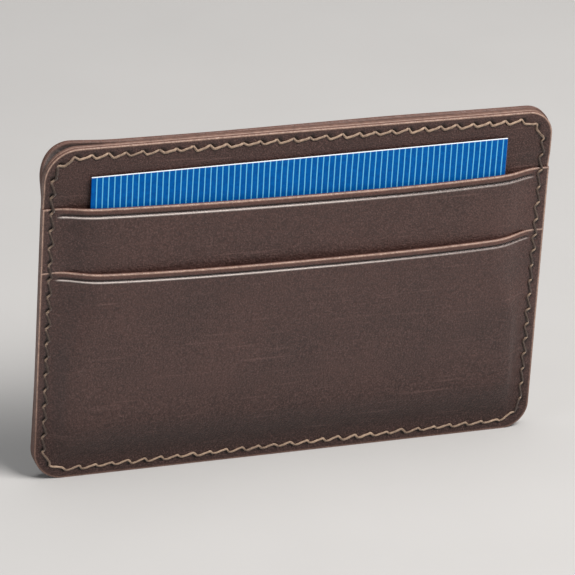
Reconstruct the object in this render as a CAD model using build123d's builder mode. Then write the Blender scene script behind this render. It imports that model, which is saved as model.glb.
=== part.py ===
"""A slim stitched leather card case: two card pockets on each face and one open pocket in the middle.

Frame: +X to the right, +Z up, -Y towards the front. The origin is the middle of the bottom edge.
Each half is a stack of flat-cut leather: lining, panel, upper pocket and lower pocket, counted out
from the middle plane. The back half repeats the front one. Sizes are in millimetres.
"""

from build123d import *
import math
import os

# overall outline
wallet_width = 108.0
wallet_height = 73.0
corner_radius = 7.0

# leather
lining_leather = 0.4
panel_leather = 0.7
pocket_leather = 0.6
edge_round = 0.15

# thread
seam_inset = 2.0
stitch_pitch = 3.5
thread_diameter = 0.4
inner_thread_diameter = 0.35
thread_sides = 8
slit_span = 1.2  # between the two thread centres in one slit
slit_angle = -45.0
slit_ease = 0.05
stem_thread_diameter = 0.3
stem_slit_span = 0.36
stem_groove_ease = 0.06

# business card in the front upper pocket
card_width = 88.9
card_height = 50.8
card_thickness = 0.35
card_top_below_edge = 5.5
card_clearance = 0.1
card_seat_clearance = 0.05

# pockets
upper_mouth_below_edge = 12.7
lower_mouth_below_edge = 26.0
lower_floor_z = 4.0
side_seam_below_edge = 10.0  # above the side seam the two halves part at the corners
hem_width = 7.0
hem_thickness = lining_leather  # the lining is turned over once
pocket_width = 91.5  # free width between a pocket's side walls
lower_gap = 0.8  # room for cards in the lower pocket
ramp_angle = 30.0  # how far the formed side walls lean from square
form_round = 0.4
stem_margin = 2.4  # flat border beside and under the upper pocket's formed field
stem_side_clearance = 0.3  # between the stem's border and the lower pocket's side wall
butt_gap = 0.1  # between the upper pocket's wings and the lower pocket's top edge

# levels, counted out from the middle plane
lining_level = hem_thickness
panel_level = lining_level + lining_leather
face_level = panel_level + panel_leather
flange_level = face_level + pocket_leather
card_level = face_level + thread_diameter + card_clearance
upper_gap = thread_diameter + card_thickness + 2 * card_clearance
lower_raise = upper_gap + pocket_leather + lower_gap

# places that follow from the sizes
half_width = wallet_width / 2
seam_half_width = half_width - seam_inset
seam_corner_radius = corner_radius - seam_inset
ramp_slope = math.tan(math.radians(ramp_angle))
ramp_offset = pocket_leather / math.cos(math.radians(ramp_angle))
upper_mouth_z = wallet_height - upper_mouth_below_edge
lower_mouth_z = wallet_height - lower_mouth_below_edge
side_seam_top_z = wallet_height - side_seam_below_edge
card_bottom_z = wallet_height - card_top_below_edge - card_height
upper_floor_z = card_bottom_z - card_seat_clearance - upper_gap * ramp_slope
upper_base_half_width = pocket_width / 2 + upper_gap * ramp_slope
stem_half_width = upper_base_half_width + ramp_offset + stem_margin
stem_bottom_z = upper_floor_z - ramp_offset - stem_margin
stem_seam_z = upper_floor_z - ramp_offset - stem_margin / 2
stem_seam_length = pocket_width
lower_base_half_width = stem_half_width + pocket_leather * ramp_slope + stem_side_clearance
hem_top_z = side_seam_top_z - stitch_pitch / 2
slit_width = thread_diameter + slit_ease
stem_slit_width = stem_thread_diameter + slit_ease
through_cut = 4 * flange_level + 4 * lower_raise

SIDES = {"front": -1, "back": 1}


def face_plane(side, level):
    """The plane at a level of one half, seen from outside, with its local Y along +Z of the case."""
    sign = SIDES[side]
    return Plane(origin=(0, sign * level, 0), x_dir=(-sign, 0, 0), z_dir=(0, sign, 0))


def outer_face(part, side):
    """The flat face of a part that lies furthest out on its half."""
    return part.faces().filter_by(Axis.Y).sort_by(Axis.Y)[0 if side == "front" else -1]


def case_outline(top_z, round_top=False):
    """The case's outline up to a height, with round bottom corners and, if asked for, round top ones."""
    middle_z = top_z / 2
    with Locations((0, middle_z)):
        outline = Rectangle(wallet_width, top_z)
    corners = [v for v in outline.vertices() if round_top or v.Y < middle_z]
    fillet(corners, corner_radius)


# ---------------------------------------------------------------------------
# Stitch places, in the front view: the top row runs on round the corners, and the side row starts in
# the top row's end slits
# ---------------------------------------------------------------------------
with BuildLine() as top_seam_line:
    FilletPolyline(
        (-seam_half_width, side_seam_top_z),
        (-seam_half_width, wallet_height - seam_inset),
        (seam_half_width, wallet_height - seam_inset),
        (seam_half_width, side_seam_top_z),
        radius=seam_corner_radius,
    )

with BuildLine() as side_seam_line:
    FilletPolyline(
        (seam_half_width, side_seam_top_z),
        (seam_half_width, seam_inset),
        (-seam_half_width, seam_inset),
        (-seam_half_width, side_seam_top_z),
        radius=seam_corner_radius,
    )

with BuildLine() as stem_seam_line:
    Line((-stem_seam_length / 2, stem_seam_z), (stem_seam_length / 2, stem_seam_z))


def slit_places(seam_line, angle):
    """The slit centres along a seam, each turned to the slit's own direction."""
    path = seam_line.wire()
    count = round(path.length / stitch_pitch)
    places = []
    for i in range(count + 1):
        centre, along = path @ (i / count), path % (i / count)
        turn = math.degrees(math.atan2(along.Y, along.X)) + angle
        places.append(Location((centre.X, centre.Y, 0), (0, 0, turn)))
    return places


top_slits = slit_places(top_seam_line, slit_angle)
side_slits = slit_places(side_seam_line, slit_angle)
stem_slits = slit_places(stem_seam_line, 0)


def cut_slits(places, span, width):
    """Cuts awl slits through the part being built."""
    with BuildSketch(face_plane("front", 0)) as slits:
        with Locations(*places):
            SlotCenterToCenter(span, width)
    extrude(slits.sketch, amount=through_cut / 2, both=True, mode=Mode.SUBTRACT)


# ---------------------------------------------------------------------------
# Leather
# ---------------------------------------------------------------------------
def build_lining(side):
    """Thin leather facing the middle pocket, its edge turned in down both sides and along the bottom."""
    with BuildPart() as lining:
        with BuildSketch(face_plane(side, lining_level)):
            case_outline(wallet_height, round_top=True)
        extrude(amount=lining_leather)
        with BuildSketch(face_plane(side, 0)):
            case_outline(hem_top_z)
            with Locations((0, (wallet_height + hem_width) / 2)):
                Rectangle(
                    wallet_width - 2 * hem_width, wallet_height - hem_width, mode=Mode.SUBTRACT
                )
        extrude(amount=hem_thickness)
        cut_slits(top_slits + side_slits[1:-1], slit_span, slit_width)
    return lining


def build_panel(side):
    """The full-height outer leather, with a groove inside where the stem seam's under thread lies."""
    with BuildPart() as panel:
        with BuildSketch(face_plane(side, panel_level)):
            case_outline(wallet_height, round_top=True)
        extrude(amount=panel_leather)
        fillet(outer_face(panel, side).edges(), edge_round)
        cut_slits(top_slits + side_slits[1:-1], slit_span, slit_width)
        cut_slits(stem_slits, stem_slit_span, stem_slit_width)
        with BuildSketch(face_plane(side, panel_level)):
            with Locations((0, stem_seam_z)):
                SlotCenterToCenter(stem_seam_length + stem_slit_span, stem_slit_width + stem_groove_ease)
        extrude(amount=stem_thread_diameter + stem_groove_ease, mode=Mode.SUBTRACT)
    return panel


def form_field(side, base_half_width, floor_z, mouth_z, gap):
    """Raises a pocket's field: a leaning block is added, and the same block less the leather is cut."""
    past_mouth = 2 * (gap + pocket_leather)
    for grow, height, mode in (
        (ramp_offset, gap + pocket_leather, Mode.ADD),
        (0, gap, Mode.SUBTRACT),
    ):
        low, high = floor_z - grow, mouth_z + past_mouth
        with BuildSketch(face_plane(side, face_level)) as footprint:
            with Locations((0, (low + high) / 2)):
                Rectangle(2 * (base_half_width + grow), high - low)
        extrude(footprint.sketch, amount=height, taper=ramp_angle, mode=mode)
    split(bisect_by=Plane.XY.offset(mouth_z), keep=Keep.BOTTOM)


def round_field(pocket, side, mouth_z):
    """Rounds the outer rim of the raised field, as leather formed over a card is."""
    rim = [e for e in outer_face(pocket, side).edges() if e.center().Z < mouth_z - form_round]
    fillet(rim, form_round)


def build_upper_pocket(side):
    """A T of leather: full-width wings at the mouth, and a stem that ends inside the lower pocket."""
    wing_bottom_z = lower_mouth_z + butt_gap
    with BuildPart() as pocket:
        with BuildSketch(face_plane(side, face_level)):
            with Locations((0, (wing_bottom_z + upper_mouth_z) / 2)):
                Rectangle(wallet_width, upper_mouth_z - wing_bottom_z)
            with Locations((0, (stem_bottom_z + upper_mouth_z) / 2)):
                Rectangle(2 * stem_half_width, upper_mouth_z - stem_bottom_z)
        extrude(amount=pocket_leather)
        form_field(side, upper_base_half_width, upper_floor_z, upper_mouth_z, upper_gap)
        round_field(pocket, side, upper_mouth_z)
        cut_slits(side_slits, slit_span, slit_width)
        cut_slits(stem_slits, stem_slit_span, stem_slit_width)
    return pocket


def build_lower_pocket(side):
    """The outermost leather, sewn down at both sides and the bottom, formed over the upper pocket."""
    with BuildPart() as pocket:
        with BuildSketch(face_plane(side, face_level)):
            case_outline(lower_mouth_z)
        extrude(amount=pocket_leather)
        form_field(side, lower_base_half_width, lower_floor_z, lower_mouth_z, lower_raise)
        round_field(pocket, side, lower_mouth_z)
        cut_slits(side_slits, slit_span, slit_width)
    return pocket


# ---------------------------------------------------------------------------
# Thread: each stitch is one solid, a bar lying on the leather with a leg down each slit
# ---------------------------------------------------------------------------
def build_stitch(start, end, lift, root, diameter):
    """One stitch between two points of the front view, its bar at Y lift and its legs ending at Y root."""
    bend = 0.35 * diameter
    along = (end - start).normalized() * bend
    shoulder = lift + math.copysign(bend, root - lift)
    with BuildPart() as stitch:
        with BuildLine() as path:
            Polyline(
                (start.X, root, start.Y),
                (start.X, shoulder, start.Y),
                (start.X + along.X, lift, start.Y + along.Y),
                (end.X - along.X, lift, end.Y - along.Y),
                (end.X, shoulder, end.Y),
                (end.X, root, end.Y),
            )
        with BuildSketch(Plane(origin=path.line @ 0, z_dir=path.line % 0)):
            RegularPolygon(diameter / 2, thread_sides)
        sweep(transition=Transition.RIGHT)
    return stitch.part


def build_seam(places, span, diameter, side, face_of, root):
    """A row of stitches from slit to slit. face_of gives the leather's level at a height."""
    sign = SIDES[side]
    arriving = [(place * Location((-span / 2, 0, 0))).position for place in places]
    leaving = [(place * Location((span / 2, 0, 0))).position for place in places]
    stitches = []
    for start, end in zip(leaving[:-1], arriving[1:]):
        face = face_of(min(start.Y, end.Y))
        lift = face + math.copysign(diameter / 2, face - root)
        stitches.append(build_stitch(start, end, sign * lift, sign * root, diameter))
    with BuildPart() as seam:
        add(stitches)
    return seam


def outside_level(z):
    """The outer level of the sewn border at a height."""
    return flange_level if z < upper_mouth_z else face_level


# ---------------------------------------------------------------------------
# Assembly
# ---------------------------------------------------------------------------
pieces = {}
half_depth = (lining_level + face_level) / 2
groove_bed_level = panel_level + stem_thread_diameter + stem_groove_ease / 2

for side in SIDES:
    pieces[f"{side}_lining"] = build_lining(side)
    pieces[f"{side}_panel"] = build_panel(side)
    pieces[f"{side}_upper_pocket"] = build_upper_pocket(side)
    pieces[f"{side}_lower_pocket"] = build_lower_pocket(side)
    pieces[f"{side}_top_seam_outer_thread"] = build_seam(
        top_slits, slit_span, thread_diameter, side, lambda z: face_level, half_depth
    )
    pieces[f"{side}_top_seam_inner_thread"] = build_seam(
        top_slits, slit_span, inner_thread_diameter, side, lambda z: lining_level, half_depth
    )
    pieces[f"{side}_side_seam_thread"] = build_seam(
        side_slits, slit_span, thread_diameter, side, outside_level, 0
    )
    pieces[f"{side}_stem_seam_outer_thread"] = build_seam(
        stem_slits, stem_slit_span, stem_thread_diameter, side, lambda z: flange_level, face_level
    )
    pieces[f"{side}_stem_seam_inner_thread"] = build_seam(
        stem_slits, stem_slit_span, stem_thread_diameter, side, lambda z: groove_bed_level, face_level
    )

with BuildPart() as business_card:
    with BuildSketch(face_plane("front", card_level)):
        with Locations((0, card_bottom_z + card_height / 2)):
            Rectangle(card_width, card_height)
    extrude(amount=card_thickness)
pieces["business_card"] = business_card

os.makedirs("parts", exist_ok=True)
for name, piece in pieces.items():
    piece.part.label = name
    export_step(piece.part, f"parts/{name}.step")
    print(name, "solids", len(piece.part.solids()), "volume", round(piece.part.volume, 1))
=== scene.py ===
import math
import bpy
import numpy as np
from mathutils import Matrix, Vector


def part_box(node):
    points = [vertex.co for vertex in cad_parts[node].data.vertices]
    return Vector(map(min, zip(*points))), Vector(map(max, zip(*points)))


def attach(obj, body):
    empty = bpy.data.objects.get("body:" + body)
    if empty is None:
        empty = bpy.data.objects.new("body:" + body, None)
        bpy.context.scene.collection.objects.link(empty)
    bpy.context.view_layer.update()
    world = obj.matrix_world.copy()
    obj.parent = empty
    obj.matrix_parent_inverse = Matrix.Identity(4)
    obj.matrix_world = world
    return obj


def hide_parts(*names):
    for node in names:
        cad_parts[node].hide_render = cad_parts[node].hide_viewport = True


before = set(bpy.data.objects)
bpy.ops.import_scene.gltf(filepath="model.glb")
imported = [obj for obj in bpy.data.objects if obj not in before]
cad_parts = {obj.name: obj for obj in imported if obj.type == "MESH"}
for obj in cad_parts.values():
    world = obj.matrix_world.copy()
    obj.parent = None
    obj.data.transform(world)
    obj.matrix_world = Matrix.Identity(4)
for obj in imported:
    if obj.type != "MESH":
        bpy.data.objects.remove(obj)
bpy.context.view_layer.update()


# ---------------------------------------------------------------------------
# Front and back panels. Each is one full-height piece of dark brown leather, about 0.7 mm thick, with
# rounded corners and burnished edges. It carries the pockets and is sewn to its lining along the top.
# ---------------------------------------------------------------------------
MM = 0.001
SIDES = {"front": -1.0, "back": 1.0}


def reach(node):
    """How far a CAD node's faces lie from the middle plane, as (near, far) in mm."""
    low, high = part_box(node)
    near, far = sorted((abs(low[1]), abs(high[1])))
    return near / MM, far / MM


case_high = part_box("front_panel")[1]
HALF = case_high[0] / MM
TOP = case_high[2] / MM
CORNER = 7.0
FACE = reach("front_panel")[1]
UPPER_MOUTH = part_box("front_upper_pocket")[1][2] / MM
LOWER_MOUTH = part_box("front_lower_pocket")[1][2] / MM
STEM_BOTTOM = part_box("front_upper_pocket")[0][2] / MM
NO_TOP = 500.0  # the top of an outline that has no rounded top of its own
SEAM_INSET = 2.0
STITCH_PITCH = 3.5
SLIT_ANGLE = math.radians(-45)
SLIT = 1.2
HALVES_PART = 63.0  # the side seam's top, above which front and back part


def ease(t):
    """A smooth step from 0 to 1."""
    t = np.clip(t, 0.0, 1.0)
    return t * t * (3 - 2 * t)


def corner_at(x, z):
    """The cut radius of the corner nearest a point: the four differ a little."""
    return np.where(z > TOP / 2, np.where(x < 0, 7.2, 5.4), np.where(x < 0, 6.4, 5.6))


def inset_from(x, z, top, round_top):
    """How far inside the case's outline a point lies, in mm."""
    radius = corner_at(x, z)
    x = np.abs(x)
    past_x = x - (HALF - radius)
    low_z = radius - z
    high_z = z - (top - radius)
    inside = np.minimum(np.minimum(HALF - x, z), top - z)
    low = (past_x > 0) & (low_z > 0)
    inside = np.where(low, radius - np.hypot(past_x, low_z), inside)
    if round_top:
        high = (past_x > 0) & (high_z > 0)
        inside = np.where(high, radius - np.hypot(past_x, high_z), inside)
    return inside


def half_width_at(z, u, round_top):
    """Half the outline's width at a height, in mm, on the side that u's sign names."""
    radius = corner_at(u, z)
    drop = np.maximum(radius - z, 0)
    if round_top:
        drop = np.maximum(drop, np.maximum(z - (TOP - radius), 0))
    drop = np.minimum(drop, radius)
    return HALF - radius + np.sqrt(radius**2 - drop**2)


def arch(x, power=3.0):
    """The rise of a pocket's leather across the case: none at the seams, flat in the middle."""
    return np.clip(1 - (np.abs(x) / 51.5) ** power, 0, 1)


def border_squeeze(x, z):
    """How much of its thickness the sewn border keeps where the seam presses the layers together."""
    inside = inset_from(x, z, NO_TOP, False)
    return 1 - 0.32 * (1 - ease((inside - 3.0) / 6)) * (1 - ease((z - 60.5) / 4))


def half_lean(x, z, side):
    """Above the side seam the halves part. The back's left corner curls away the most."""
    if side == "front":
        return 0.15 * ease((z - 62) / 12) * ease((40 - np.abs(x)) / 40)
    curl = 1.6 + 2.1 * ease((-x - 14) / 38) - 1.0 * ease((x - 14) / 38)
    curl = curl + 1.5 * ease((-x - 38) / 14)
    return curl * ease((z - 61.5) / 12.5)


def upper_field(x, z):
    """How far the upper pocket stands off the panel, over the card."""
    wing = ease((z - 44) / 6)
    over_card = ease((47.0 + 4.1 * wing - np.abs(x)) / (2.4 + 6.6 * wing)) * ease((z - 14.6) / 2.0)
    return 1.0 * over_card + 0.45 * arch(x) * np.clip((z - 16) / 44, 0, 1) ** 1.5


def lower_field(x, z):
    """How far the lower pocket stands off the panel, over the upper pocket's stem."""
    high = ease((z - 26) / 14)
    over_stem = ease((51.4 + 0.2 * high - np.abs(x)) / (3.8 + 6.2 * high)) * ease((z - 3.3) / 9.5)
    rise = np.clip((z - 6) / 41, 0, 1)
    return 1.78 * over_stem + 1.05 * arch(x, 2.6) * rise**1.3


def mouth_sag(x, z, mouth, depth, lowest, power):
    """The mouths dip where the leather has stretched, lowest a little right of the middle."""
    u = np.where(x < lowest, (lowest - x) / (lowest + 42), (x - lowest) / (50 - lowest))
    dip = (1 - u**power) * ease((54 - np.abs(x)) / 10)
    return -depth * dip * ease((z - mouth + 24) / 24)


def hand_cut(x, z):
    """The front half was cut and sewn by hand, so its rows run a little out of square."""
    tilt = -0.0085 * x * ease((z - 18) / 30)
    return z + tilt + np.interp(z, (0, 20, 47, 60, 73), (0, 0, -0.3, 0.42, 0.5))


def lay(x, z, level, side, field=0.0):
    """A point of the case in metres, from its place in the front view and its level, in mm."""
    y = level * border_squeeze(x, z) + field
    depth = SIDES[side] * (y + (half_lean(x, z, side) if side == "back" else 0))
    if side == "front":
        depth = depth + half_lean(x, z, side)
        z = hand_cut(x, z)
    else:
        loose = ease((-x - 14) / 38) * ease((z - 61) / 12)
        x = x + 0.35 * ease(z / 25) + 0.2 * loose
        z = z - 0.6 * loose
    return np.stack([x * MM, depth * MM, z * MM], axis=-1)


def seam_slits(points, radius):
    """Slit centres and directions along a seam with rounded corners, a stitch apart."""
    path = []
    for i, here in enumerate(points):
        here = np.array(here, float)
        if i in (0, len(points) - 1):
            path.append(here[None])
            continue
        back = np.array(points[i - 1], float) - here
        ahead = np.array(points[i + 1], float) - here
        back /= np.linalg.norm(back)
        ahead /= np.linalg.norm(ahead)
        centre = here + (back + ahead) * radius
        angles = np.linspace(0, math.pi / 2, 40)[:, None]
        path.append(centre - ahead * radius * np.cos(angles) - back * radius * np.sin(angles))
    path = np.concatenate(path)
    lengths = np.concatenate([[0], np.cumsum(np.linalg.norm(np.diff(path, axis=0), axis=1))])
    count = round(lengths[-1] / STITCH_PITCH)
    at = np.linspace(0, lengths[-1], count + 1)
    centres = np.stack([np.interp(at, lengths, path[:, k]) for k in (0, 1)], axis=1)
    tips = np.stack([np.interp(at + 0.05, lengths, path[:, k]) for k in (0, 1)], axis=1)
    tails = np.stack([np.interp(at - 0.05, lengths, path[:, k]) for k in (0, 1)], axis=1)
    along = tips - tails
    along /= np.linalg.norm(along, axis=1)[:, None]
    cos, sin = math.cos(SLIT_ANGLE), math.sin(SLIT_ANGLE)
    turned = [along[:, 0] * cos - along[:, 1] * sin, along[:, 0] * sin + along[:, 1] * cos]
    return centres, np.stack(turned, axis=1)


SEAM_HALF = HALF - SEAM_INSET
top_slits = seam_slits(
    [
        (-SEAM_HALF, HALVES_PART),
        (-SEAM_HALF, TOP - SEAM_INSET),
        (SEAM_HALF, TOP - SEAM_INSET),
        (SEAM_HALF, HALVES_PART),
    ],
    CORNER - SEAM_INSET,
)
side_slits = seam_slits(
    [
        (SEAM_HALF, HALVES_PART),
        (SEAM_HALF, SEAM_INSET),
        (-SEAM_HALF, SEAM_INSET),
        (-SEAM_HALF, HALVES_PART),
    ],
    CORNER - SEAM_INSET,
)


def seam_dents(x, z, slits):
    """Two fields over the leather: how far the thread pulls it in, and the painted shade in each awl
    slit.
    """
    dent = np.zeros_like(x)
    seam_shade = np.zeros_like(x)
    for (cx, cz), (dx, dz) in zip(*slits):
        near = (np.abs(x - cx) < 2.2) & (np.abs(z - cz) < 2.2)
        ax, az = x[near] - cx, z[near] - cz
        long_way = ax * dx + az * dz
        short_way = -ax * dz + az * dx
        dent[near] += 0.22 * np.exp(-((long_way / 0.85) ** 2) - (short_way / 0.55) ** 2)
        slit = np.exp(-((long_way / 0.66) ** 4) - ((short_way - 0.42) / 0.36) ** 2)
        seam_shade[near] += slit
        dent[near] += 0.2 * slit
    return dent, np.clip(seam_shade, 0, 1)


def spread(*runs):
    """Joins runs of (start, end, step) into one sorted list of places."""
    places = [np.linspace(a, b, max(2, round(abs(b - a) / step) + 1)) for a, b, step in runs]
    return np.unique(np.round(np.concatenate(places), 4))


# Steps of a grid at a cut edge: start, end and step, in mm from the edge.
RIM = ((0, 0.28, 0.07), (0.28, 0.6, 0.16), (0.6, 1.2, 0.2))


def closed_faces(shape):
    """The faces of two grids of points, one behind the other, joined round their edge."""
    count = shape[0] * shape[1]
    index = np.arange(count).reshape(shape)
    corners = [index[:-1, :-1], index[:-1, 1:], index[1:, 1:], index[1:, :-1]]
    quads = np.stack(corners, axis=-1).reshape(-1, 4)
    ring = np.concatenate([index[0, :], index[1:, -1], index[-1, -2::-1], index[-2:0:-1, 0]])
    after = np.roll(ring, -1)
    walls = np.stack([after, ring, ring + count, after + count], axis=-1)
    return np.concatenate([quads, quads[:, ::-1] + count, walls])


def mesh_piece(name, verts, faces, values):
    """A smooth-shaded mesh in the scene, with one value per point under each name in values."""
    mesh = bpy.data.meshes.new(name)
    mesh.from_pydata(verts, [], faces)
    for label, each in values.items():
        layer = mesh.attributes.new(label, "FLOAT", "POINT")
        layer.data.foreach_set("value", np.asarray(each, np.float32))
    mesh.polygons.foreach_set("use_smooth", np.ones(len(mesh.polygons), bool))
    mesh.update()
    piece = bpy.data.objects.new(name, mesh)
    bpy.context.collection.objects.link(piece)
    return piece


def sheet_mesh(name, side, rows, columns, near, far, outline, inside, settle, marks):
    """A closed leather sheet on a grid. outline(z, u) is its half width; settle(x, z, level) places a
    point; inside(x, z) is its inset from the sheet's own edge; marks(x, z) gives dent, painted shade in
    the slits, the crease's painted highlight and shade, the burnished bead under a mouth, and painted
    shade towards the bottom of the lower pockets with a darker tone on the panels and linings."""
    z, u = np.meshgrid(rows, columns, indexing="ij")
    x = u * outline(z, u)
    from_edge = inside(x, z)
    swell = 0.62 + 0.38 * np.sqrt(1 - (1 - np.clip(from_edge / 0.26, 0, 1)) ** 2)
    middle, thick = (near + far) / 2, (far - near) / 2
    dent, seam_shade, crease_highlight_and_shade, bead, bottom_shade_and_panel_tone = marks(x, z)
    outer = settle(x, z, middle + thick * swell - dent)
    inner = settle(x, z, middle - thick * swell)
    verts = np.concatenate([outer.reshape(-1, 3), inner.reshape(-1, 3)])
    faces = closed_faces(x.shape)
    if side == "back":
        faces = faces[:, ::-1]
    rim = np.exp(-((np.clip(from_edge, 0, 9) / 0.34) ** 2))
    # Painted highlight along the arris, fading towards the bottom.
    arris_highlight = np.exp(-(((from_edge - 0.17) / 0.13) ** 2)) * (0.35 + 0.65 * ease((z - 6) / 22))
    bare = np.zeros_like(x)
    outer_and_inner = {
        "rim": (np.maximum(rim, 0.75 * bead), rim),
        "arris_highlight": (arris_highlight, bare),
        "seam_shade": (seam_shade, bare),
        "crease_highlight_and_shade": (crease_highlight_and_shade, bare),
        "bottom_shade_and_panel_tone": (bottom_shade_and_panel_tone, bare),
    }
    values = {label: np.stack(both).ravel() for label, both in outer_and_inner.items()}
    return mesh_piece(name, verts.tolist(), faces.tolist(), values)


def set_socket(tree, socket, value):
    """Links a shader socket to another one, or sets its constant."""
    if isinstance(value, bpy.types.NodeSocket):
        tree.links.new(value, socket)
    else:
        socket.default_value = value


def add_node(tree, kind, settings=None, **sockets):
    """Adds a shader node, sets its own values, then sets or links its sockets."""
    node = tree.nodes.new(kind)
    for key, value in (settings or {}).items():
        setattr(node, key, value)
    for key, value in sockets.items():
        set_socket(tree, node.inputs[key.replace("_", " ")], value)
    return node


def mix_colour(tree, factor, a, b):
    """A colour mix; a and b are colours or sockets."""
    node = add_node(tree, "ShaderNodeMix", {"data_type": "RGBA"})
    for index, value in ((0, factor), (6, a), (7, b)):
        set_socket(tree, node.inputs[index], value)
    return node.outputs[2]


def calculate(tree, operation, *values):
    """One step of arithmetic on constants or sockets."""
    node = add_node(tree, "ShaderNodeMath", {"operation": operation})
    for socket, value in zip(node.inputs, values):
        set_socket(tree, socket, value)
    return node.outputs[0]


def ramp(tree, value, low, high, start=0.0, end=1.0):
    """Turns low to high into start to end, and holds it there."""
    node = add_node(
        tree, "ShaderNodeMapRange", Value=value,
        From_Min=low, From_Max=high, To_Min=start, To_Max=end,
    )
    return node.outputs["Result"]


def noise(tree, place, scale, detail, roughness=0.5):
    """Cloudy noise from 0 to 1."""
    node = add_node(
        tree, "ShaderNodeTexNoise", Vector=place, Scale=scale, Detail=detail, Roughness=roughness
    )
    return node.outputs["Fac"]


def painted(tree, label):
    """The value that the mesh's points carry under a name."""
    return add_node(tree, "ShaderNodeAttribute", {"attribute_name": label}).outputs["Fac"]


def new_material(name):
    """An empty node material, its node tree, and the place of each point on the piece."""
    material = bpy.data.materials.new(name)
    material.use_nodes = True
    tree = material.node_tree
    tree.nodes.clear()
    return material, tree, add_node(tree, "ShaderNodeTexCoord").outputs["Object"]


def finished(material, skin):
    """Joins the last shader to the material's output."""
    out = add_node(material.node_tree, "ShaderNodeOutputMaterial")
    material.node_tree.links.new(skin.outputs[0], out.inputs["Surface"])
    return material


def shifted(colour, times, plus=0.0):
    """A lighter or darker version of a colour."""
    return [part * times + plus for part in colour[:3]] + [1]


def leather(name, colour, deep, rim_colour, grain, gloss):
    """Fine-grained, waxed leather: mottled colour, pebbled grain, burnished rims, and painted light: a
    highlight along the arris, highlight and shade on the creased lines, shade in the slits, and shade
    towards the bottom of the lower pockets."""
    material, tree, place = new_material(name)
    crease_highlight_and_shade = painted(tree, "crease_highlight_and_shade")
    bottom_shade_and_panel_tone = painted(tree, "bottom_shade_and_panel_tone")

    # The mottled colour, with painted shade towards the bottom of the lower pockets and a darker tone
    # on the panels and linings, and its grain, pores and scratches.
    cloud = noise(tree, place, 55.0, 5.0, 0.6)
    base = mix_colour(tree, ramp(tree, cloud, 0.35, 0.68), deep, colour)
    base = mix_colour(tree, calculate(tree, "MULTIPLY", bottom_shade_and_panel_tone, 0.75), base, shifted(deep, 0.45))
    pebble = add_node(
        tree, "ShaderNodeTexVoronoi", {"feature": "SMOOTH_F1"},
        Vector=place, Scale=2300.0, Smoothness=0.4,
    ).outputs["Distance"]
    fine = noise(tree, place, 3400.0, 3.0, 0.65)
    speck = ramp(tree, fine, 0.45, 0.68, 0.0, 0.8)
    base = mix_colour(tree, speck, base, shifted(colour, 1.6, 0.024))
    pores = ramp(tree, pebble, 0.35, 0.75, 0.0, 0.45)
    base = mix_colour(tree, pores, base, shifted(deep, 0.45))
    drawn_out = add_node(tree, "ShaderNodeMapping", Vector=place, Scale=(70.0, 70.0, 1500.0))
    streaks = noise(tree, drawn_out.outputs["Vector"], 1.0, 2.0)
    scratch = ramp(tree, streaks, 0.64, 0.74, 0.0, 0.35)
    base = mix_colour(tree, scratch, base, shifted(colour, 2, 0.03))

    # The edges, the creased line's painted highlight and shade, and the painted shade in the slits.
    wear_and_highlight_patches = ramp(tree, noise(tree, place, 900.0, 3.0), 0.3, 0.65, 0.55, 1.0)
    rim = calculate(tree, "MULTIPLY", painted(tree, "rim"), wear_and_highlight_patches)
    base = mix_colour(tree, rim, base, rim_colour)
    # Painted highlight on the arris, patchy with the same noise as the rim's wear.
    arris_highlight = calculate(tree, "MULTIPLY", painted(tree, "arris_highlight"), wear_and_highlight_patches)
    base = mix_colour(tree, arris_highlight, base, (0.44, 0.30, 0.235, 1))
    # Painted highlight on the crease's lip and painted shade in its groove.
    lip = calculate(tree, "MAXIMUM", crease_highlight_and_shade, 0.0)
    base = mix_colour(tree, lip, base, (0.66, 0.58, 0.54, 1))
    groove = calculate(tree, "MAXIMUM", calculate(tree, "MULTIPLY", crease_highlight_and_shade, -1.0), 0.0)
    base = mix_colour(tree, groove, base, (0.012, 0.007, 0.006, 1))
    # Painted shade in the slits and along the side rows' groove.
    base = mix_colour(tree, painted(tree, "seam_shade"), base, (0.006, 0.004, 0.0035, 1))

    # The relief of the grain, on wider waves, and the sheen of the wax.
    height = calculate(tree, "MULTIPLY_ADD", pebble, -0.8, fine)
    bump = add_node(tree, "ShaderNodeBump", Strength=grain, Distance=0.00012, Height=height)
    waves = add_node(
        tree, "ShaderNodeBump", Strength=0.35, Distance=0.0003,
        Height=noise(tree, place, 240.0, 3.0), Normal=bump.outputs["Normal"],
    )
    # The gloss drops with the painted shade low on the lower pockets and with the panels' darker tone.
    skin = add_node(
        tree, "ShaderNodeBsdfPrincipled", Base_Color=base, Normal=waves.outputs["Normal"],
        Roughness=ramp(tree, cloud, 0.3, 0.7, gloss - 0.05, gloss + 0.07),
        Specular_IOR_Level=ramp(tree, bottom_shade_and_panel_tone, 0.0, 1.0, 0.5, 0.3),
    )
    return finished(material, skin)


outer_leather = leather(
    "dark_brown_leather", (0.064, 0.029, 0.0235, 1), (0.036, 0.016, 0.013, 1),
    (0.105, 0.044, 0.032, 1), 0.9, 0.36,
)
# The front panel's leather is the thicker one, so its edge shows broader along the top.
EXTRA_THICKNESS = {"front": 0.12, "back": 0.0}
SIDE_ROWS = 51  # the side seam's rows run outside this, in mm from the middle
GROOVE_BELOW = 1.48  # the creased line's groove and its raised lip, in mm below the mouth
LIP_BELOW = 1.86


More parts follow.
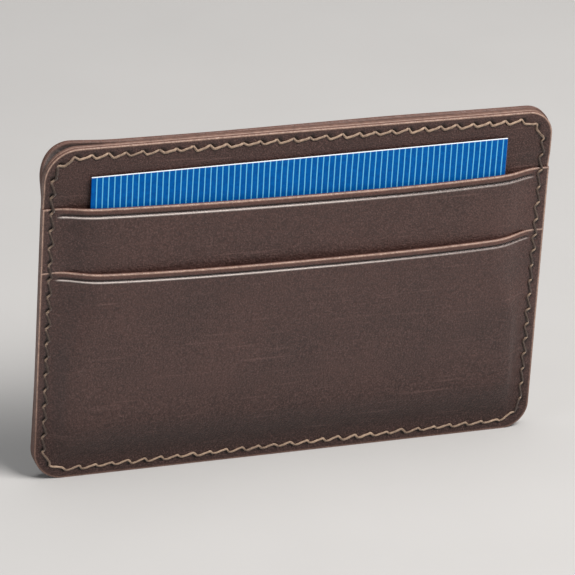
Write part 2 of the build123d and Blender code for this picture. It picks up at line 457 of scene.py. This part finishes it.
def outer_marks(slits, crease_at=None):
    """Dents and slits of the seams with their painted shade, the creased line below a pocket's mouth
    with its painted highlight and shade, and painted shade low on the lower pockets.
    """

    def marks(x, z):
        dent, seam_shade = np.zeros_like(x), np.zeros_like(x)
        for row in slits:
            row_dent, row_shade = seam_dents(x, z, row)
            dent, seam_shade = dent + row_dent, np.maximum(seam_shade, row_shade)
        # Painted shade along the marking groove that the side rows are sewn in.
        line = np.exp(-(((inset_from(x, z, NO_TOP, False) - SEAM_INSET) / 0.3) ** 2))
        line = 0.4 * line * (np.abs(x) > SIDE_ROWS) * (1 - ease((z - 62) / 3))
        seam_shade = np.maximum(seam_shade, line)
        crease_highlight_and_shade, warm = np.zeros_like(x), np.zeros_like(x)
        if crease_at is not None:
            below = crease_at - z
            fade = ease((51.2 - np.abs(x)) / 1.5)
            groove = np.exp(-(((below - GROOVE_BELOW) / 0.21) ** 2))
            lip = np.exp(-(((below - LIP_BELOW) / 0.17) ** 2))
            bead = np.exp(-(((below - 0.75) / 0.55) ** 2))
            dent = dent + fade * (0.24 * groove - 0.07 * lip - 0.14 * bead)
            # Painted highlight on the lip, fading towards the right, and painted shade in the groove.
            lip_highlight = lip * (1 - 0.5 * ease((x + 6) / 50))
            crease_highlight_and_shade = fade * (lip_highlight - groove)
            warm = fade * np.exp(-(((below - 0.72) / 0.42) ** 2))
        # Painted shade towards the bottom of the lower pockets; the panels and linings get a darker tone
        # all over.
        bottom_shade_and_panel_tone = np.exp(-(((z - 4) / 11) ** 2)) if crease_at == LOWER_MOUTH else 0 * x
        if crease_at is None:
            bottom_shade_and_panel_tone = bottom_shade_and_panel_tone + 0.4
        return dent, seam_shade, crease_highlight_and_shade, warm, bottom_shade_and_panel_tone

    return marks


def full_rows(top_step):
    """Row heights of a full-height sheet, dense where the top seam runs."""
    return spread(
        *((a, b, s) for a, b, s in RIM), (1.2, 3.4, 0.3), (3.4, 8, 0.5), (8, 56, 1.5), (56, 64, 0.6),
        (64, TOP - 3.6, top_step), (TOP - 3.6, TOP - 1.2, 0.22),
        *((TOP - b, TOP - a, s) for a, b, s in RIM),
    )


def side_columns(middle_step):
    """Column places from -1 to 1, dense along both side seams."""
    inset = spread(*RIM, (1.2, 3.4, 0.22), (3.4, 9, 0.45), (9, HALF, middle_step))
    u = 1 - inset / HALF
    return np.unique(np.round(np.concatenate([-u, u]), 6))


for side in SIDES:
    near, far = reach(f"{side}_panel")
    near -= EXTRA_THICKNESS[side]
    panel = sheet_mesh(
        f"{side}_panel_leather", side, full_rows(0.45), side_columns(0.45), near, far,
        lambda z, u: half_width_at(z, u, True),
        lambda x, z: inset_from(x, z, TOP, True),
        lambda x, z, level, side=side: lay(x, z, level, side),
        outer_marks([top_slits]),
    )
    panel.data.materials.append(outer_leather)
    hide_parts(f"{side}_panel")
    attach(panel, "wallet")


# ---------------------------------------------------------------------------
# Linings. A thinner, duller leather behind each panel, glued to it and caught in the top seam. Its edge
# shows as the second line along the top, and its face shows where the back half curls away.
# ---------------------------------------------------------------------------
# The lining is its own leather, its colour kept far darker than the outer leather's as painted shade in
# the gap between the halves.
lining_leather = leather(
    "brown_lining_leather", (0.020, 0.010, 0.008, 1), (0.012, 0.006, 0.005, 1),
    (0.115, 0.056, 0.042, 1), 0.45, 0.56,
)
# The levels of each lining's two faces, in mm out from the middle plane.
LINING = {"front": (-0.22, 0.68), "back": (0.24, 0.8)}


def lay_lining(x, z, level, side):
    """Above the side seam the front lining bulks out towards the middle pocket."""
    loose = ease((z - 61) / 10) if side == "front" else 0 * z
    loose = loose * (1 - 0.85 * ease((-x - 18) / 26))
    bulk = 0.62 * loose * np.clip((0.68 - level) / 0.9, 0, 1.3)
    return lay(x, z, level - bulk, side)


for side in SIDES:
    near, far = LINING[side]
    lining = sheet_mesh(
        f"{side}_lining_leather", side, full_rows(0.9), side_columns(1.2), near, far,
        lambda z, u: half_width_at(z, u, True),
        lambda x, z: inset_from(x, z, TOP, True),
        lambda x, z, level, side=side: lay_lining(x, z, level, side),
        outer_marks([]),
    )
    lining.data.materials.append(lining_leather)
    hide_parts(f"{side}_lining")
    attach(lining, "wallet")


# ---------------------------------------------------------------------------
# Upper pockets. A T of the same leather: its wings are caught in the side seams and its stem runs down
# inside the lower pocket. The mouth is burnished round, with a hot-creased line just below it.
# ---------------------------------------------------------------------------
def pocket_rows(mouth, low_runs):
    """Row heights of a pocket, dense round its mouth's creased line."""
    return spread(
        *low_runs, *((mouth - b, mouth - a, s) for a, b, s in RIM),
        (mouth - 2.3, mouth - 1.2, 0.09), (mouth - 4, mouth - 2.3, 0.3),
    )


POCKET_LEVELS = (FACE + 0.02, FACE + 0.60)
wing = LOWER_MOUTH - 1.4
stem_half = 48.0

for side in SIDES:

    def upper_half(z, u):
        return np.where(z > wing - 1e-6, half_width_at(z, u, False), stem_half)

    def upper_inside(x, z):
        wings = np.minimum(inset_from(x, z, NO_TOP, False), UPPER_MOUTH - z)
        stem = np.where(z > 40, 9.0, np.minimum(stem_half - np.abs(x), z - STEM_BOTTOM))
        return np.where(z > wing - 1e-6, wings, stem)

    def upper_lay(x, z, level, side=side):
        """The wings are skived thin where the lower pocket's edge covers them."""
        skived = (z > wing - 1e-6) * (1 - ease((z - LOWER_MOUTH + 0.4) / 0.5))
        kept = 1 - 0.95 * skived * ease((np.abs(x) - 46.8) / 1.2)
        level = FACE + 0.02 + (level - FACE - 0.02) * kept
        settled = z + mouth_sag(x, z, UPPER_MOUTH, 0.74, 14, 2.0)
        return lay(x, settled, level, side, upper_field(x, z))

    rows = pocket_rows(
        UPPER_MOUTH,
        [(STEM_BOTTOM, STEM_BOTTOM + 0.4, 0.1), (STEM_BOTTOM + 0.4, 20, 0.5), (20, 44, 2.0),
         (44, wing - 0.02, 0.5), (wing, wing + 1.6, 0.1), (wing + 1.6, UPPER_MOUTH - 4, 0.4)],
    )
    pocket = sheet_mesh(
        f"{side}_upper_pocket_leather", side, rows, side_columns(0.9), *POCKET_LEVELS,
        upper_half, upper_inside, upper_lay, outer_marks([side_slits], UPPER_MOUTH),
    )
    pocket.data.materials.append(outer_leather)
    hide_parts(f"{side}_upper_pocket")
    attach(pocket, "wallet")


# ---------------------------------------------------------------------------
# Lower pockets. The outermost leather of each face, sewn down both sides and along the bottom. It has
# taken the shape of what lies behind it, and its mouth gapes a little in the middle.
# ---------------------------------------------------------------------------
for side in SIDES:

    def lower_inside(x, z):
        return inset_from(x, z, LOWER_MOUTH, False)

    def lower_lay(x, z, level, side=side):
        settled = z + mouth_sag(x, z, LOWER_MOUTH, 0.6, 6, 3.0)
        return lay(x, settled, level, side, lower_field(x, z))

    rows = pocket_rows(
        LOWER_MOUTH, [*RIM, (1.2, 3.4, 0.22), (3.4, 9, 0.4), (9, LOWER_MOUTH - 4, 0.42)]
    )
    pocket = sheet_mesh(
        f"{side}_lower_pocket_leather", side, rows, side_columns(0.45), *POCKET_LEVELS,
        lambda z, u: half_width_at(z, u, False), lower_inside, lower_lay,
        outer_marks([side_slits], LOWER_MOUTH),
    )
    pocket.data.materials.append(outer_leather)
    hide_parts(f"{side}_lower_pocket")
    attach(pocket, "wallet")


# ---------------------------------------------------------------------------
# Seams. Waxed three-ply thread, saddle-stitched through slanted awl slits, so each stitch rises from one
# slit and drops into the next. One row holds each panel to its lining, one goes through all the layers.
# ---------------------------------------------------------------------------
def thread_material(name, colour, deep):
    """Waxed thread, worn paler in places, with painted shade on its upright runs and where it sinks into
    the leather.
    """
    material, tree, place = new_material(name)
    fuzz = noise(tree, place, 2600.0, 4.0, 0.7)
    worn = ramp(tree, noise(tree, place, 180.0, 2.0), 0.35, 0.65)
    tone = mix_colour(tree, worn, deep, colour)
    light = ramp(tree, fuzz, 0.35, 0.7, 0.0, 0.5)
    tone = mix_colour(tree, light, tone, shifted(colour, 1.6))
    # Painted shade on the thread, as much as its points carry.
    shaded_part = calculate(tree, "MULTIPLY", painted(tree, "thread_shade"), 0.93)
    tone = mix_colour(tree, shaded_part, tone, (0.030, 0.016, 0.012, 1))
    bump = add_node(tree, "ShaderNodeBump", Strength=0.6, Distance=0.00008, Height=fuzz)
    skin = add_node(
        tree, "ShaderNodeBsdfPrincipled", Base_Color=tone, Normal=bump.outputs["Normal"],
        Roughness=0.62, Sheen_Weight=0.25, Sheen_Roughness=0.4,
    )
    return finished(material, skin)


def seam_thread(name, slits, thick, surface, sink, peak, material):
    """A row of stitches. surface(x, z, lift) places a point a height above the leather, in metres.
    Hand sewing makes each stitch a little different."""
    centres, turned = slits
    chance = np.random.default_rng(len(name) * 7 + len(centres))
    verts, faces, thread_shade = [], [], []
    around, lengths = 12, 27
    reaches = SLIT * (0.5 + 0.06 * chance.standard_normal(len(centres)))[:, None] * turned
    reaches += 0.06 * chance.standard_normal(reaches.shape)
    for i in range(len(centres) - 1):
        enter = centres[i] - reaches[i]
        start = centres[i] + reaches[i]
        end = centres[i + 1] - reaches[i + 1]
        fat = thick * (1 + 0.07 * chance.standard_normal())
        twist = 3.0 * chance.random()
        keys = [
            (enter, -sink), (enter + (start - enter) * 0.12, -0.06), (start, -0.03),
            (start + (end - start) * 0.2, peak * 0.8), ((start + end) / 2, peak),
            (end + (start - end) * 0.12, peak * 0.8), (end, -sink),
        ]
        points = np.array([[p[0], p[1], h] for p, h in keys])
        gone = np.concatenate([[0], np.cumsum(np.linalg.norm(np.diff(points, axis=0), axis=1))])
        s = np.linspace(0, 1, lengths)
        flat = np.stack([np.interp(s * gone[-1], gone, points[:, k]) for k in range(3)], axis=1)
        for _ in range(2):
            flat[1:-1] = (flat[:-2] + 2 * flat[1:-1] + flat[2:]) / 4
        lift = flat[:, 2]
        centre = surface(flat[:, 0], flat[:, 1], lift)
        along = np.gradient(centre, axis=0)
        along /= np.linalg.norm(along, axis=1)[:, None]
        up = np.array([0.0, 1.0, 0.0])
        across = np.cross(along, up)
        across /= np.linalg.norm(across, axis=1)[:, None]
        up = np.cross(across, along)
        base = len(verts)
        run = np.abs(end - start)
        upright = float(ease(run[1] / (run[0] + run[1]) * 2 - 0.6))
        # Painted shade: upright stitches darken except at their lit tips, flat ones only where they sink
        # into the slit.
        lit_tips = np.exp(-(((s - 0.1) / 0.12) ** 2)) + 0.6 * np.exp(-(((s - 0.97) / 0.07) ** 2))
        shaded_part = upright * (1 - 0.95 * np.clip(lit_tips, 0, 1)) + (1 - upright) * 0.3 * (s < 0.22)
        thread_shade += np.repeat(shaded_part, around).tolist()
        for j in range(lengths):
            for k in range(around):
                angle = 2 * math.pi * k / around
                ply = 1 + 0.16 * math.cos(3 * angle - 5.5 * math.pi * s[j] + twist)
                size = fat / 2 * MM * ply
                spoke = across[j] * math.cos(angle) + up[j] * math.sin(angle) * 0.85
                verts.append(tuple(centre[j] + size * spoke))
        for j in range(lengths - 1):
            for k in range(around):
                a, b = base + j * around + k, base + j * around + (k + 1) % around
                faces.append((a, b, b + around, a + around))
        faces.append(tuple(base + k for k in reversed(range(around))))
        faces.append(tuple(base + (lengths - 1) * around + k for k in range(around)))
    piece = mesh_piece(name, verts, faces, {"thread_shade": thread_shade})
    piece.data.materials.append(material)
    return piece


tan_thread = thread_material("tan_waxed_thread", (0.30, 0.208, 0.145, 1), (0.155, 0.102, 0.071, 1))
dark_thread = thread_material(
    "leather_stained_thread", (0.14, 0.095, 0.066, 1), (0.06, 0.038, 0.027, 1)
)

for side in SIDES:

    def on_panel(x, z, lift, side=side):
        return lay(x, z, FACE + lift, side)

    def on_lining(x, z, lift, side=side):
        return lay_lining(x, z, LINING[side][0] - lift, side)

    def on_border(x, z, lift, side=side):
        step = ease((UPPER_MOUTH + 1.6 - z) / 1.8)
        return lay(x, z, FACE + 0.6 * step + lift, side)

    for name, slits, thick, surface, peak in (
        ("top_seam_outer_thread", top_slits, 0.48, on_panel, 0.15),
        ("top_seam_inner_thread", top_slits, 0.44, on_lining, 0.10),
        ("side_seam_thread", side_slits, 0.44, on_border, 0.09),
    ):
        stitches = seam_thread(f"{side}_{name}_stitches", slits, thick, surface, 0.42, peak, tan_thread)
        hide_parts(f"{side}_{name}")
        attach(stitches, "wallet")

# The stem seams lie hidden under the lower pockets, and keep their CAD shape in the darker thread.
for side in SIDES:
    for layer in ("outer", "inner"):
        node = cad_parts[f"{side}_stem_seam_{layer}_thread"]
        node.data.materials.clear()
        node.data.materials.append(dark_thread)


# ---------------------------------------------------------------------------
# Business card. Coated paper card, 0.35 mm thick and cut square, printed blue with thin light stripes
# and left without any mark. It stands loose in the front upper pocket and slides up out of it.
# ---------------------------------------------------------------------------
STRIPE_PITCH = 0.00125  # in metres


def card_material():
    """Blue ink with thin pale stripes that waver a little, and bare paper at the cut edge."""
    material, tree, place = new_material("striped_card")
    across = add_node(tree, "ShaderNodeSeparateXYZ", Vector=place).outputs["X"]
    shaky = calculate(tree, "MULTIPLY_ADD", noise(tree, place, 90.0, 2.0), 0.00030, across)
    part = calculate(tree, "FRACT", calculate(tree, "MULTIPLY", shaky, 1 / STRIPE_PITCH))
    away = calculate(tree, "ABSOLUTE", calculate(tree, "SUBTRACT", part, 0.5))
    stripe = add_node(
        tree, "ShaderNodeMapRange", {"interpolation_type": "SMOOTHSTEP"}, Value=away,
        From_Min=0.06, From_Max=0.11, To_Min=1.0, To_Max=0.0,
    )
    ink = noise(tree, place, 1500.0, 3.0)
    inked = ramp(tree, ink, 0.3, 0.7)
    blue = mix_colour(tree, inked, (0.0, 0.072, 0.29, 1), (0.0, 0.100, 0.37, 1))
    printed = mix_colour(tree, stripe.outputs["Result"], blue, (0.13, 0.47, 0.70, 1))
    printed = mix_colour(tree, painted(tree, "edge"), printed, (0.72, 0.76, 0.80, 1))
    bump = add_node(tree, "ShaderNodeBump", Strength=0.15, Distance=0.00003, Height=ink)
    skin = add_node(
        tree, "ShaderNodeBsdfPrincipled", Base_Color=printed, Normal=bump.outputs["Normal"],
        Roughness=0.45, Specular_IOR_Level=0.06,
    )
    return finished(material, skin)


card_low, card_high = (np.array(corner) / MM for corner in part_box("business_card"))
card_low[0] += 0.1
card_high[0] -= 0.5


def card_places(axis):
    """Grid places along an axis of the card, dense at its two cut edges."""
    low, high = card_low[axis], card_high[axis]
    return spread((low, low + 0.2, 0.05), (low + 0.2, high - 0.2, 1.2), (high - 0.2, high, 0.05))


z, x = np.meshgrid(card_places(2), card_places(0), indexing="ij")
edge_inset = np.minimum(
    np.minimum(x - card_low[0], card_high[0] - x), np.minimum(z - card_low[2], card_high[2] - z)
)
swell = 0.8 + 0.2 * np.sqrt(1 - (1 - np.clip(edge_inset / 0.08, 0, 1)) ** 2)
middle, thick = (card_low[1] + card_high[1]) / 2, (card_high[1] - card_low[1]) / 2
askew = z + 0.4 + 0.003 * x
face_points = np.stack([x, middle - thick * swell, askew], axis=-1).reshape(-1, 3) * MM
rear_points = np.stack([x, middle + thick * swell, askew], axis=-1).reshape(-1, 3) * MM
card_points = np.concatenate([face_points, rear_points])
pale = np.clip(1 - (card_high[2] - z) / 0.12, 0, 1) + 0.3 * (x > card_high[0] - 0.04)
pale = np.clip(pale, 0, 1).ravel()
card = mesh_piece(
    "striped_business_card", card_points.tolist(), closed_faces(x.shape).tolist(),
    {"edge": np.concatenate([pale, pale])},
)
card.data.materials.append(card_material())
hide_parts("business_card")
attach(card, "card")


# ---------------------------------------------------------------------------
# Setting. A plain pale floor that the case stands on, a soft studio light from above and the right with
# a weaker one on the left, and the camera to the upper left of the front face.
# ---------------------------------------------------------------------------
floor_mesh = bpy.data.meshes.new("studio_floor")
floor_mesh.from_pydata([(-4, -4, 0), (4, -4, 0), (4, 4, 0), (-4, 4, 0)], [], [(0, 1, 2, 3)])
floor = bpy.data.objects.new("studio_floor", floor_mesh)
bpy.context.collection.objects.link(floor)
floor_material, tree, place = new_material("pale_floor")
paper = noise(tree, place, 30.0, 4.0)
tone = mix_colour(tree, paper, (0.40, 0.396, 0.392, 1), (0.425, 0.421, 0.417, 1))
matt = add_node(tree, "ShaderNodeBsdfPrincipled", Base_Color=tone, Roughness=0.9)
floor.data.materials.append(finished(floor_material, matt))


def soft_light(name, place, size, power, colour):
    """An area light aimed at the middle of the case."""
    data = bpy.data.lights.new(name, "AREA")
    data.shape = "RECTANGLE"
    data.size, data.size_y = size
    data.energy = power
    data.color = colour
    light = bpy.data.objects.new(name, data)
    bpy.context.collection.objects.link(light)
    light.location = place
    aim = Vector((0, 0, 0.035)) - Vector(place)
    light.rotation_euler = aim.to_track_quat("-Z", "Y").to_euler()


soft_light("key_light", (0.38, -0.40, 0.84), (0.5, 0.5), 15.5, (1.0, 0.97, 0.94))
soft_light("top_light", (-0.05, 0.15, 0.95), (0.7, 0.4), 3.0, (1.0, 0.98, 0.96))
soft_light("left_light", (-0.85, -0.35, 0.35), (0.5, 0.6), 2.4, (0.96, 0.98, 1.0))

world = bpy.data.worlds.new("studio_air")
world.use_nodes = True
world.node_tree.nodes["Background"].inputs["Color"].default_value = (0.82, 0.84, 0.87, 1)
world.node_tree.nodes["Background"].inputs["Strength"].default_value = 0.15
bpy.context.scene.world = world
bpy.context.scene.view_settings.view_transform = "Standard"

azimuth, elevation, roll = math.radians(-20.29), math.radians(26.46), math.radians(3.58)
level = math.cos(elevation)
away = Vector((math.sin(azimuth) * level, -math.cos(azimuth) * level, math.sin(elevation)))
right = Vector((math.cos(azimuth), math.sin(azimuth), 0))
upward = away.cross(right)
tilted_right = math.cos(roll) * right + math.sin(roll) * upward
tilted_up = -math.sin(roll) * right + math.cos(roll) * upward
target = Vector((-0.00164, -0.0019, 0.03874))
distance = 0.93826
camera_data = bpy.data.cameras.new("view_camera")
camera_data.sensor_width = 36
camera_data.lens = 288.84522
camera_data.clip_start = 0.01
camera_data.clip_end = 20
camera = bpy.data.objects.new("view_camera", camera_data)
bpy.context.collection.objects.link(camera)
turn = Matrix((tilted_right, tilted_up, away)).transposed().to_4x4()
camera.matrix_world = Matrix.Translation(target + away * distance) @ turn
bpy.context.scene.camera = camera
